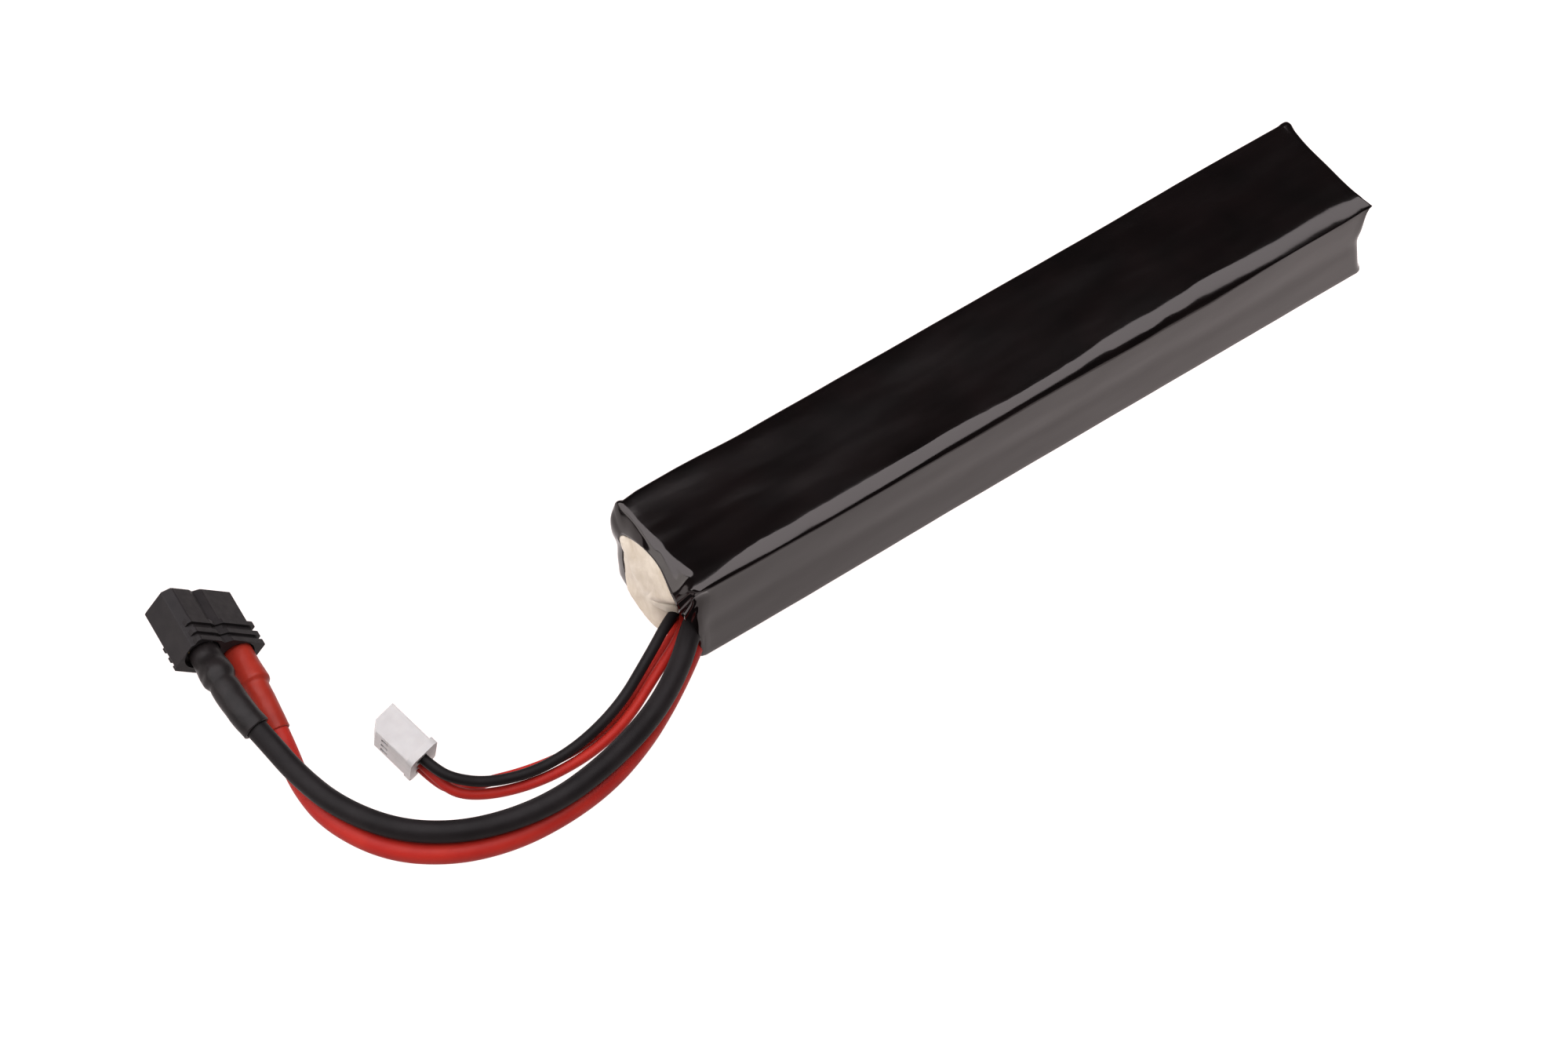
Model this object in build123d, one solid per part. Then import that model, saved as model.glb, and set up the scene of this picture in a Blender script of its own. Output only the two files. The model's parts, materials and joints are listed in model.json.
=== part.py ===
from build123d import *
import os
from math import pi, radians, tan

# Two-cell stick lithium polymer pack with a main lead pair ending in a two-way T-plug
# and three balance wires ending in a three-way balance plug. Millimetres.
# Origin: middle of the base. +X runs from the wire end to the far end, +Y across, +Z up.

# ---------------------------------------------------------------- driving dimensions
PACK_LENGTH = 130.0
PACK_WIDTH = 21.0
PACK_HEIGHT = 16.8
FILM = 0.3                      # shrunk film wall
FILM_EDGE_RADIUS = 2.0
PAD_BULGE = 3.0                 # how far the end pad pushes out of the wire end
TOTAL_LENGTH = PACK_LENGTH + PAD_BULGE
NEAR_X = PAD_BULGE - TOTAL_LENGTH / 2
FAR_X = TOTAL_LENGTH / 2

CELL_LENGTH = 118.6
CELL_WIDTH = 19.8
CELL_EDGE_RADIUS = 1.6
SEAM = 0.15                     # folded side seam of a pouch
SEAM_HEIGHT = 5.0
BAND = 0.1                      # tape bands round the stacked cells
BAND_WIDTH = 12.0
BOND_TAPE = 0.4                 # foam tape between the two cells
CELL_HEIGHT = (PACK_HEIGHT - 2 * FILM - 2 * BAND - BOND_TAPE) / 2
CELL_FAR_X = FAR_X - 1.0
CELL_NEAR_X = CELL_FAR_X - CELL_LENGTH
TERRACE_LENGTH = 3.0            # heat-sealed lip that the tabs come out of
TERRACE_WIDTH = 18.0
TERRACE_THICK = 0.4

TAB_THICK = 0.2
TAB_WIDTH = 4.0
NEAR_SIDE_TAB_Y = -5.0          # tabs on the side where the wires leave
FAR_SIDE_TAB_Y = 6.0            # tabs that the series link joins
LINK_X = -60.0

MAIN_WIRE = 3.5                 # 14 AWG silicone wire, over its insulation
MAIN_CORE = 1.7
BALANCE_WIRE = 1.7
BALANCE_CORE = 0.7
BARE_AT_T_PLUG = 2.6
BARE_BALANCE = 1.3

# Rear face of each plug: centre, heading about Z, nose-up pitch and roll about its own axis
T_PLUG_REAR = (-125.9, 28.0)
T_PLUG_TURN = (83.0, 0.0, 40.7)
BALANCE_PLUG_REAR = (-110.6, -4.7)
BALANCE_PLUG_TURN = (103.4, 17.0, -10.0)

T_LENGTH = 11.6
T_HALF_WIDTH = 6.6
T_BOTTOM = -3.2
T_TOP_NEGATIVE = 3.0
T_TOP_POSITIVE = 3.4
T_RIB = 0.45
T_RIB_WIDTH = 0.9
T_RIB_PLACES = (0.0, 1.7, 3.7)
SLOT_LENGTH = 4.2
SLOT_WIDTH = 1.5
POCKET_DEPTH = 1.2
BLADE = 0.8

BALANCE_PITCH = 2.5
BALANCE_LENGTH = 9.0
BALANCE_BACK = -2.8             # across the plug, measured from the wires' line
BALANCE_FRONT = 2.2
BALANCE_LINE = 8.3              # along the row of pins
BALANCE_FLANGE = (5.6, 9.6)
BALANCE_FLANGE_LENGTH = 1.2
BALANCE_NOSE_BEVEL = 1.3
CAVITY = 2.0

# ---------------------------------------------------------------- wire routes
# Corner points from inside the pack to the plug. The negative main lead lies on the
# positive one, and the three balance wires lie in the bend inside them.
MAIN_NEGATIVE_ROUTE = [
    (-60.4, -6.3, 5.9), (-64.0, -8.7, 5.8), (-68.6, -12.8, 5.5), (-75.0, -16.9, 5.5),
    (-81.3, -19.5, 5.4), (-89.4, -21.6, 5.4), (-97.9, -22.5, 5.4), (-106.4, -21.2, 5.4),
    (-114.0, -18.0, 5.3), (-120.6, -12.5, 5.3), (-125.2, -4.5, 5.4), (-127.2, 3.4, 6.0),
    (-128.2, 10.4, 8.1), (-129.3, 17.4, 10.0), (-128.5, 23.7, 10.0),
]
MAIN_POSITIVE_ROUTE = [
    (-57.6, -5.0, 2.2), (-62.6, -8.2, 2.2), (-67.8, -11.9, 1.9), (-74.0, -15.8, 1.8),
    (-80.4, -19.2, 1.8), (-88.6, -22.1, 1.8), (-97.4, -23.1, 1.8), (-106.4, -22.4, 1.8),
    (-115.0, -19.2, 1.8), (-122.3, -13.0, 1.8), (-126.5, -3.7, 1.8), (-126.6, 4.5, 1.8),
    (-124.8, 10.8, 2.6), (-123.9, 16.8, 5.0), (-123.1, 23.1, 5.1),
]
BALANCE_NEGATIVE_ROUTE = [
    (-60.0, -2.6, 4.9), (-64.2, -4.4, 4.9), (-68.8, -7.8, 4.4), (-72.6, -9.7, 3.9),
    (-78.4, -11.7, 3.3), (-84.4, -13.2, 2.8), (-90.6, -14.3, 2.5), (-97.4, -14.4, 2.7),
    (-104.0, -12.9, 3.8), (-108.4, -10.4, 5.6), (-110.2, -7.6, 6.7), (-111.3, -3.6, 7.8),
]
BALANCE_MIDDLE_ROUTE = [
    (-60.5, 3.6, 4.1), (-60.5, -1.2, 3.5), (-62.0, -4.7, 3.0), (-65.2, -6.8, 2.8),
    (-68.6, -8.2, 2.4), (-72.8, -10.1, 1.9), (-78.4, -12.5, 1.3), (-84.0, -14.2, 0.9),
    (-90.4, -15.3, 0.9), (-97.6, -15.0, 0.9), (-104.2, -13.3, 1.3), (-108.6, -10.8, 2.8),
    (-110.0, -7.3, 4.1), (-111.1, -2.8, 5.5),
]
BALANCE_POSITIVE_ROUTE = [
    (-60.0, -2.9, 1.2), (-64.4, -5.1, 1.2), (-70.2, -7.3, 0.9), (-77.2, -10.2, 0.9),
    (-84.0, -12.3, 0.9), (-90.6, -13.2, 0.9), (-97.4, -12.5, 0.9), (-103.4, -10.9, 0.9),
    (-107.8, -9.2, 1.1), (-109.8, -6.2, 1.9), (-110.8, -2.0, 3.1),
]


# ---------------------------------------------------------------- helpers
def block(x0, x1, y0, y1, z0, z1):
    """Box between two corners."""
    return Pos((x0 + x1) / 2, (y0 + y1) / 2, (z0 + z1) / 2) * Box(x1 - x0, y1 - y0, z1 - z0)


def lengthwise(sketch_yz, x0, x1):
    """Extrude a sketch drawn as (y, z) from x0 to x1."""
    across = Plane(origin=(x0, 0, 0), x_dir=(0, 1, 0), z_dir=(1, 0, 0))
    return extrude(across * sketch_yz, x1 - x0)


def round_rod(radius, x0, x1, y=0.0, z=0.0):
    """Cylinder along X."""
    return lengthwise(Pos(y, z) * Circle(radius), x0, x1)


def turned(rear_xy, turn, z):
    """Location of a plug's frame: its X points out of the mating face."""
    heading, pitch, roll = turn
    spot = Pos(rear_xy[0], rear_xy[1], z)
    return spot * Rot(0, 0, heading) * Rot(0, -pitch, 0) * Rot(roll, 0, 0)


def resting_height(shape, rear_xy, turn):
    """Height of the plug's frame that puts its lowest corner on the base plane."""
    return -(turned(rear_xy, turn, 0) * shape).bounding_box().min.Z


def corner_radii(route):
    """Arc at each corner, as large as its two runs allow."""
    points = [Vector(*p) for p in route]
    radii = []
    for before, corner, after in zip(points, points[1:], points[2:]):
        run_in = corner - before
        run_out = after - corner
        half_turn = radians(run_in.get_angle(run_out)) / 2
        radii.append(0.45 * min(run_in.length, run_out.length) / tan(half_turn))
    return radii


def tube(path, radius):
    return sweep(Plane(origin=path @ 0, z_dir=path % 0) * Circle(radius), path=path)


def wire(name, route, diameter, core, bare_inside, bare_at_plug):
    """Insulated wire with a bare core standing out of each end."""
    radii = corner_radii(route)
    path = FilletPolyline(*route, radius=radii)
    body = tube(path, diameter / 2)
    ideal = pi * diameter ** 2 / 4 * path.length
    print(f"{name}: length {path.length:.1f}, smallest radius {min(radii):.1f}, "
          f"radii {[round(r, 1) for r in radii]}, volume ratio {body.volume / ideal:.4f}")
    for end, way, bare in ((0, -1, bare_inside), (1, 1, bare_at_plug)):
        end_plane = Plane(origin=path @ end, z_dir=(path % end) * way)
        body += extrude(end_plane * Circle(core / 2), bare)
    return body


# ---------------------------------------------------------------- cells
def cell_end_outline(z_low):
    corner = Pos(0, z_low + CELL_HEIGHT / 2)
    return corner * RectangleRounded(CELL_WIDTH, CELL_HEIGHT, CELL_EDGE_RADIUS)


def pouch_cell(z_low):
    """Pouch with folded side seams and the heat-sealed terrace at the wire end."""
    middle = z_low + CELL_HEIGHT / 2
    cell = lengthwise(cell_end_outline(z_low), CELL_NEAR_X, CELL_FAR_X)
    side = CELL_WIDTH / 2
    for y0, y1 in ((side, side + SEAM), (-side - SEAM, -side)):
        cell += block(CELL_NEAR_X + 2, CELL_FAR_X - 2, y0, y1,
                      middle - SEAM_HEIGHT / 2, middle + SEAM_HEIGHT / 2)
    cell += block(CELL_NEAR_X - TERRACE_LENGTH, CELL_NEAR_X, -TERRACE_WIDTH / 2,
                  TERRACE_WIDTH / 2, middle - TERRACE_THICK / 2, middle + TERRACE_THICK / 2)
    return cell


def tab_strip(y_middle, x_tip, z):
    """Flat tab from the terrace to its tip."""
    return block(x_tip, CELL_NEAR_X - TERRACE_LENGTH, y_middle - TAB_WIDTH / 2,
                 y_middle + TAB_WIDTH / 2, z - TAB_THICK / 2, z + TAB_THICK / 2)


def tape_band(x_middle):
    """Thin tape band wound round both cells."""
    height = PACK_HEIGHT - 2 * FILM
    width = CELL_WIDTH + 2 * (SEAM + BAND)
    at = Pos(0, PACK_HEIGHT / 2)
    corner = FILM_EDGE_RADIUS - FILM
    slack = 0.02
    ring = at * RectangleRounded(width, height, corner)
    ring -= at * RectangleRounded(width - 2 * BAND + slack, height - 2 * BAND + slack, corner - BAND)
    return lengthwise(ring, x_middle - BAND_WIDTH / 2, x_middle + BAND_WIDTH / 2)


LOWER_Z = FILM + BAND
UPPER_Z = LOWER_Z + CELL_HEIGHT + BOND_TAPE
LOWER_TAB_Z = LOWER_Z + CELL_HEIGHT / 2
UPPER_TAB_Z = UPPER_Z + CELL_HEIGHT / 2

parts = {
    "lower_cell": pouch_cell(LOWER_Z),
    "upper_cell": pouch_cell(UPPER_Z),
    "cell_bond_tape": block(CELL_NEAR_X + 4, CELL_FAR_X - 4, -7, 7,
                            LOWER_Z + CELL_HEIGHT, UPPER_Z),
    "cell_band_near": tape_band(CELL_NEAR_X + 16),
    "cell_band_far": tape_band(CELL_FAR_X - 16),
}

# ---------------------------------------------------------------- tabs and links
BUS_X = -58.6                   # negative strip, in front of the lower terrace
parts["lower_cell_positive_tab"] = tab_strip(NEAR_SIDE_TAB_Y, -57.9, LOWER_TAB_Z)
parts["lower_cell_negative_tab"] = tab_strip(FAR_SIDE_TAB_Y, LINK_X + TAB_THICK, LOWER_TAB_Z)
parts["upper_cell_positive_tab"] = tab_strip(FAR_SIDE_TAB_Y, LINK_X + TAB_THICK, UPPER_TAB_Z)
parts["upper_cell_negative_tab"] = tab_strip(NEAR_SIDE_TAB_Y, BUS_X + TAB_THICK, UPPER_TAB_Z)
parts["series_link"] = block(LINK_X, LINK_X + TAB_THICK, FAR_SIDE_TAB_Y - TAB_WIDTH / 2,
                             FAR_SIDE_TAB_Y + TAB_WIDTH / 2, LOWER_TAB_Z - 1, UPPER_TAB_Z + 1)
parts["negative_bus_strip"] = (
    block(BUS_X, BUS_X + TAB_THICK, -8.2, -1.0, 4.4, 8.0)
    + block(BUS_X, BUS_X + TAB_THICK, NEAR_SIDE_TAB_Y - 2, NEAR_SIDE_TAB_Y + 2,
            8.0, UPPER_TAB_Z + 1)
)

# ---------------------------------------------------------------- end insulation
SHEET_X = -62.0


def film_inside(clearance):
    """Outline inside the film wall, as (y, z)."""
    gap = 2 * (FILM + clearance)
    outline = RectangleRounded(PACK_WIDTH - gap, PACK_HEIGHT - gap,
                               FILM_EDGE_RADIUS - FILM - clearance)
    return Pos(0, PACK_HEIGHT / 2) * outline


def end_slab(x0, x1, y_low):
    """Flat piece that fills the wire end, clear of the wires' corner."""
    return lengthwise(film_inside(0.15), x0, x1) & block(x0, x1, y_low, PACK_WIDTH, 0, PACK_HEIGHT)


parts["tab_insulator_sheet"] = end_slab(SHEET_X, SHEET_X + 0.2, -2.2)


def leaf_opening():
    """Mouth left by the shrunk film, as (y, z), with the corner that the wires leave by."""
    mouth = Polyline((8.9, 11.2), (5.6, 13.5), (2.1, 15.4), (-0.4, 15.5), (-2.7, 15.0), (-4.6, 13.8),
                     (-6.0, 12.1), (-7.3, 10.2), (-10.2, 8.3), (-10.2, 0.3), (7.2, 0.3), (8.8, 3.4),
                     (9.4, 7.0), close=True)
    return make_face(mouth)


def pad_outline():
    """The part of the mouth that the pad fills."""
    edge = Polyline((8.6, 11.0), (5.4, 13.2), (2.0, 15.1), (-0.4, 15.2), (-2.5, 14.7), (-4.3, 13.5),
                    (-5.7, 11.8), (-6.6, 10.2), (-6.4, 8.6), (-2.8, 6.8), (-2.8, 4.0), (-2.6, 0.3),
                    (7.0, 0.3), (8.5, 3.4), (9.1, 7.0), close=True)
    return make_face(edge)


def end_pad():
    """Crinkled insulating pad: a flat back behind the film and a crown in its mouth."""
    back = end_slab(NEAR_X + FILM, SHEET_X, -2.4)
    crown_radius = 30.0
    crown = Pos(NEAR_X - PAD_BULGE + crown_radius, 1.5, 4.0) * Sphere(crown_radius)
    plug = lengthwise(pad_outline(), NEAR_X - PAD_BULGE, NEAR_X + FILM) & crown
    return back + plug


parts["end_insulator_pad"] = end_pad()


# ---------------------------------------------------------------- outer film
def shrink_sleeve():
    """Film sleeve with a lip turned in at each end and a tongue under the pad."""
    mid = Pos(0, PACK_HEIGHT / 2)
    outer = mid * RectangleRounded(PACK_WIDTH, PACK_HEIGHT, FILM_EDGE_RADIUS)
    sleeve = lengthwise(outer, NEAR_X, FAR_X)
    sleeve -= lengthwise(film_inside(0), NEAR_X + FILM, FAR_X - FILM)
    sleeve -= lengthwise(leaf_opening(), NEAR_X - 1, NEAR_X + FILM)
    wire_notch = block(NEAR_X - 1, NEAR_X + 2.4, -PACK_WIDTH / 2 - 1, -PACK_WIDTH / 2 + 1.3,
                       FILM + 0.05, 8.3)
    sleeve -= wire_notch
    far_mouth = mid * RectangleRounded(PACK_WIDTH - 7, PACK_HEIGHT - 6, 3)
    sleeve -= lengthwise(far_mouth, FAR_X - FILM, FAR_X + 1)
    tongue_reach = PAD_BULGE - 0.4
    half_span = 5.4
    tongue_radius = (half_span ** 2 + tongue_reach ** 2) / (2 * tongue_reach)
    disc = Pos(NEAR_X - tongue_reach + tongue_radius, 1.8) * Circle(tongue_radius)
    tongue = disc & Pos(NEAR_X - 5, 0) * Rectangle(10.6, 30)
    return sleeve + extrude(tongue, FILM)


parts["shrink_sleeve"] = shrink_sleeve()

# ---------------------------------------------------------------- wires
main_wires = (("negative", MAIN_NEGATIVE_ROUTE, 1.6), ("positive", MAIN_POSITIVE_ROUTE, 2.2))
for pole, route, bare_inside in main_wires:
    node = f"main_lead_{pole}"
    parts[node] = wire(node, route, MAIN_WIRE, MAIN_CORE, bare_inside, BARE_AT_T_PLUG)
balance_wires = (("negative", BALANCE_NEGATIVE_ROUTE), ("middle", BALANCE_MIDDLE_ROUTE),
                 ("positive", BALANCE_POSITIVE_ROUTE))
for pole, route in balance_wires:
    node = f"balance_lead_{pole}"
    parts[node] = wire(node, route, BALANCE_WIRE, BALANCE_CORE, BARE_BALANCE, BARE_BALANCE)


# ---------------------------------------------------------------- T-plug
def t_profile(grow=0.0):
    """Section of the T-plug body, as (y, z): the positive half stands a little taller."""
    side = T_HALF_WIDTH + grow
    low = T_BOTTOM - grow
    negative = T_TOP_NEGATIVE + grow
    positive = T_TOP_POSITIVE + grow
    bevel = 1.3
    outline = Polyline((-side, low), (side, low), (side, negative - bevel),
                       (side - bevel, negative), (1.8, negative), (0.9, negative - 0.3),
                       (-0.4, positive), (-side, positive), close=True)
    face = make_face(outline)
    return fillet(face.vertices(), 0.4)


# Each contact's frame in the plug: X out of the mating face, Y along the blade's width,
# Z towards the side that the wire is soldered on.
NEGATIVE_CONTACT = Pos(0, 3.4, -0.5)
POSITIVE_CONTACT = Pos(0, -2.6, 0.6) * Rot(90, 0, 0)
SLEEVE_AXIS = 0.8               # between the blade's middle and the wire's axis
SLEEVE_BULGE = 2.75
SLEEVE_TAIL = 2.3
SLEEVE_WALL = 0.35
TAB_REACH = 3.4


def t_plug_housing():
    """Body with finger ribs on three sides of its rear half, two slots and two rear pockets."""
    body = lengthwise(t_profile(), 0, T_LENGTH)
    body = chamfer(body.faces().sort_by(Axis.X)[-1].edges(), 0.35)
    ribbed = block(-1, T_LENGTH, -T_HALF_WIDTH - 1, T_HALF_WIDTH - 0.4, -6, 6)
    for rib_x in T_RIB_PLACES:
        body += lengthwise(t_profile(T_RIB), rib_x, rib_x + T_RIB_WIDTH) & ribbed
    for contact in (NEGATIVE_CONTACT, POSITIVE_CONTACT):
        body -= contact * block(-1, T_LENGTH + 1, -SLOT_LENGTH / 2, SLOT_LENGTH / 2,
                                -BLADE / 2 - 0.05, SLOT_WIDTH - BLADE / 2 - 0.05)
        body -= contact * round_rod(SLEEVE_BULGE + 0.2, -1, POCKET_DEPTH, 0, SLEEVE_AXIS)
    return body


def t_contact():
    """Brass blade with a spring dimple in the slot and a solder tab behind the plug."""
    blade = block(POCKET_DEPTH, T_LENGTH - 2.0, -1.9, 1.9, -BLADE / 2, BLADE / 2)
    tab = block(-TAB_REACH, POCKET_DEPTH, -1.4, 1.4, -BLADE / 2, BLADE / 2)
    dimple = Pos(T_LENGTH - 4.5, 0, -0.6) * Rot(90, 0, 0) * Cylinder(1.3, 2.6)
    above = block(0, T_LENGTH, -3, 3, 0, 2)
    return blade + tab + (dimple & above)


def contact_solder():
    """Solder that holds the bare core on the tab, before core and tab are cut out."""
    return round_rod(1.5, -TAB_REACH - 0.2, -TAB_REACH + 2.0, 0, 1.0)


def plug_sleeve(contact, route):
    """Heat-shrink tube: wide over the solder tab, then down to the wire."""
    last_corner = Vector(*route[-2])
    tail_start = last_corner + (Vector(*route[-3]) - last_corner) * 0.55
    tail_radius = corner_radii(route)[-1]
    tail_path = FilletPolyline(tail_start, last_corner, Vector(*route[-1]), radius=[tail_radius])

    def form(grow):
        wide = contact * round_rod(SLEEVE_BULGE + grow, -3.0, 0.8, 0, SLEEVE_AXIS)
        wide_end = Plane(contact * Pos(-3.0, 0, SLEEVE_AXIS) * Rot(0, 90, 0))
        tail_end = Plane(origin=tail_path @ 1, z_dir=tail_path % 1)
        neck = loft([tail_end * Circle(SLEEVE_TAIL + grow),
                     wide_end * Circle(SLEEVE_BULGE + grow)])
        return wide + neck + tube(tail_path, SLEEVE_TAIL + grow)

    return form(0) - form(-SLEEVE_WALL) - open_ends(contact, tail_path)


def open_ends(contact, tail_path):
    """Rods that open both ends of a plug sleeve."""
    tail_end = Plane(origin=tail_path @ 0, z_dir=-(tail_path % 0))
    tail = extrude(tail_end * Circle(SLEEVE_TAIL - SLEEVE_WALL), 0.4, both=True)
    mouth = contact * round_rod(SLEEVE_BULGE - SLEEVE_WALL, 0.4, 1.2, 0, SLEEVE_AXIS)
    return tail + mouth


housing = t_plug_housing()
t_height = resting_height(housing, T_PLUG_REAR, T_PLUG_TURN)
t_frame = turned(T_PLUG_REAR, T_PLUG_TURN, t_height)
print(f"T-plug frame height {t_height:.2f}")
parts["t_plug_housing"] = t_frame * housing
for (pole, route, _), seat in zip(main_wires, (NEGATIVE_CONTACT, POSITIVE_CONTACT)):
    contact_frame = t_frame * seat
    contact = contact_frame * t_contact()
    parts[f"t_plug_contact_{pole}"] = contact
    parts[f"plug_solder_{pole}"] = (contact_frame * contact_solder() - contact
                                    - parts[f"main_lead_{pole}"])
    parts[f"plug_sleeve_{pole}"] = plug_sleeve(contact_frame, route)


# ---------------------------------------------------------------- balance plug
def rows():
    """Height of each way along the pin line, with the pole that it carries."""
    return (("negative", BALANCE_PITCH), ("middle", 0.0), ("positive", -BALANCE_PITCH))


def balance_plug_housing():
    """Body with a rear flange, three cavities, latch windows and a bevelled nose."""
    body = block(0, BALANCE_LENGTH, BALANCE_BACK, BALANCE_FRONT,
                 -BALANCE_LINE / 2, BALANCE_LINE / 2)
    nose = body.faces().sort_by(Axis.X)[-1].edges().sort_by(Axis.Y)
    body = chamfer(nose[-1], BALANCE_NOSE_BEVEL)
    body = fillet(body.edges().filter_by(Axis.X), 0.3)
    flange = Pos(-0.4, 0) * RectangleRounded(*BALANCE_FLANGE, 1.1)
    body += lengthwise(flange, 0, BALANCE_FLANGE_LENGTH)
    for _, z in rows():
        body -= block(-1, 6.6, -CAVITY / 2, CAVITY / 2, z - CAVITY / 2, z + CAVITY / 2)
        body -= block(6, BALANCE_LENGTH + 1, -0.5, 0.5, z - 0.5, z + 0.5)
        body -= block(5.0, 6.4, 0, BALANCE_FRONT + 1, z - 0.6, z + 0.6)
    return body


def balance_terminal():
    """Crimped socket: a hollow box in front and a crimp round the bare core behind."""
    box = block(3.4, 6.4, -0.85, 0.85, -0.85, 0.85) - block(3.4, 7, -0.55, 0.55, -0.55, 0.55)
    crimp = block(2.2, 3.4, -0.7, 0.7, -0.7, 0.7)
    return box + crimp


balance_housing = balance_plug_housing()
balance_height = resting_height(balance_housing, BALANCE_PLUG_REAR, BALANCE_PLUG_TURN)
balance_frame = turned(BALANCE_PLUG_REAR, BALANCE_PLUG_TURN, balance_height)
print(f"balance plug frame height {balance_height:.2f}")
parts["balance_plug_housing"] = balance_frame * balance_housing
for pole, z in rows():
    terminal = balance_frame * Pos(0, 0, z) * balance_terminal()
    parts[f"balance_terminal_{pole}"] = terminal - parts[f"balance_lead_{pole}"]


# ---------------------------------------------------------------- solder inside the pack
def solder_on_core(spot, size, *held):
    """Solder block round a bare core, with the pieces that it holds cut out."""
    joint = Pos(*spot) * Box(*size)
    for piece in held:
        joint -= parts[piece]
    return joint


parts["solder_joint_negative"] = solder_on_core(
    (BUS_X - 0.55, -5.1, 6.0), (1.1, 2.6, 2.6), "main_lead_negative")
parts["solder_joint_positive"] = solder_on_core(
    (-56.6, -4.3, 3.3), (1.6, 2.4, 1.6), "main_lead_positive", "lower_cell_positive_tab",
    "lower_cell")
parts["solder_joint_middle"] = solder_on_core(
    (LINK_X - 0.4, 5.1, 4.6), (0.8, 1.2, 1.8), "balance_lead_middle")

# ---------------------------------------------------------------- export
os.makedirs("parts", exist_ok=True)
for name, shape in parts.items():
    shape.label = name
    export_step(shape, f"parts/{name}.step")
whole = Compound(children=list(parts.values())).bounding_box()
print(f"{len(parts)} nodes, low corner {whole.min}, high corner {whole.max}")
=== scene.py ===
"""Looks of a two-cell stick battery pack: shrink film, end pad, leads, plug sleeves and plugs.

Shapes are worked out in millimetres in the row frame, with +X along the pack away from the
wires, and turned into metres when a mesh is made.
"""
import json
from bisect import bisect_right
from math import atan2, cos, exp, pi, radians, sin, sqrt

import bpy
from mathutils import Matrix, Vector, noise


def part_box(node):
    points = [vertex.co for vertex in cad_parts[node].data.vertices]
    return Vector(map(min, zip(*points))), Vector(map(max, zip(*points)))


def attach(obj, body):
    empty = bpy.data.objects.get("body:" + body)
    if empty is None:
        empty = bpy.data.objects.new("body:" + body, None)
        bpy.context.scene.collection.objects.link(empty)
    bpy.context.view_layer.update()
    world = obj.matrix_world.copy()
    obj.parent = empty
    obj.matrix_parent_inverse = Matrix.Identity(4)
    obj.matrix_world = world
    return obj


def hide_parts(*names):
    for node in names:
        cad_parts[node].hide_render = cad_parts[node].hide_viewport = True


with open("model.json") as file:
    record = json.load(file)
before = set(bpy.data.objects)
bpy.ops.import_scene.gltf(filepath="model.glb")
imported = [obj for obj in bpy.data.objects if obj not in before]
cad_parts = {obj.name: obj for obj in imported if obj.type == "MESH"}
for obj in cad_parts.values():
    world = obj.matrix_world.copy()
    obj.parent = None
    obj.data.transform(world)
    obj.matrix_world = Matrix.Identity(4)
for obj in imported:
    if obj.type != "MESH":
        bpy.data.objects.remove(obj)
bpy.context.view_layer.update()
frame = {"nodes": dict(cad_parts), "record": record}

MM = 0.001
BODY = "root"


def in_mm(node):
    """Lowest and highest corner of a CAD node, in millimetres."""
    low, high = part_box(node)
    return low / MM, high / MM


# ------------------------------------------------------------------ measures
FILM_LOW, FILM_HIGH = in_mm("shrink_sleeve")
FAR_X = FILM_HIGH.x
NEAR_X = FAR_X - 130.0
HALF_WIDTH = FILM_HIGH.y
HEIGHT = FILM_HIGH.z
FILM_THICK = 0.2
CELL_SEAM_Z = HEIGHT / 2

MAIN_WIRE = 3.5
BALANCE_WIRE = 1.7

# Rear face of the T-plug and its turn: heading about Z, nose-up pitch, roll about its axis
T_PLUG_REAR = Vector((-125.9, 28.0, 7.2))
T_PLUG_TURN = (83.0, 0.0, 40.7)

# Control points of the five leads, from inside the pack to the plug
MAIN_NEGATIVE_ROUTE = [
    (-60.4, -6.3, 5.9), (-64.0, -8.7, 5.8), (-68.6, -12.8, 5.5), (-75.0, -16.9, 5.5),
    (-81.3, -19.5, 5.4), (-89.4, -21.6, 5.4), (-97.9, -22.5, 5.4), (-106.4, -21.2, 5.4),
    (-114.0, -18.0, 5.3), (-120.6, -12.5, 5.3), (-125.2, -4.5, 5.4), (-127.2, 3.4, 6.0),
    (-128.2, 10.4, 8.1), (-129.3, 17.4, 10.0), (-128.5, 23.7, 10.0),
]
MAIN_POSITIVE_ROUTE = [
    (-57.6, -5.0, 2.2), (-62.6, -8.2, 2.2), (-67.8, -11.9, 1.9), (-74.0, -15.8, 1.8),
    (-80.4, -19.2, 1.8), (-88.6, -22.1, 1.8), (-97.4, -23.1, 1.8), (-106.4, -22.4, 1.8),
    (-115.0, -19.2, 1.8), (-122.3, -13.0, 1.8), (-126.5, -3.7, 1.8), (-126.6, 4.5, 1.8),
    (-125.1, 10.8, 2.6), (-124.3, 16.8, 4.9), (-123.2, 23.1, 5.1),
]
BALANCE_NEGATIVE_ROUTE = [
    (-60.0, -2.6, 4.9), (-64.2, -4.3, 4.9), (-66.9, -5.6, 4.7), (-69.5, -7.1, 4.4),
    (-73.3, -9.1, 3.9), (-78.5, -11.8, 3.3), (-84.4, -13.7, 2.8), (-90.6, -14.7, 2.5), (-97.4, -14.6, 2.7),
    (-104.0, -12.9, 3.8), (-108.4, -10.4, 5.6), (-110.2, -7.6, 6.7), (-111.3, -3.6, 7.8),
]
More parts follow.
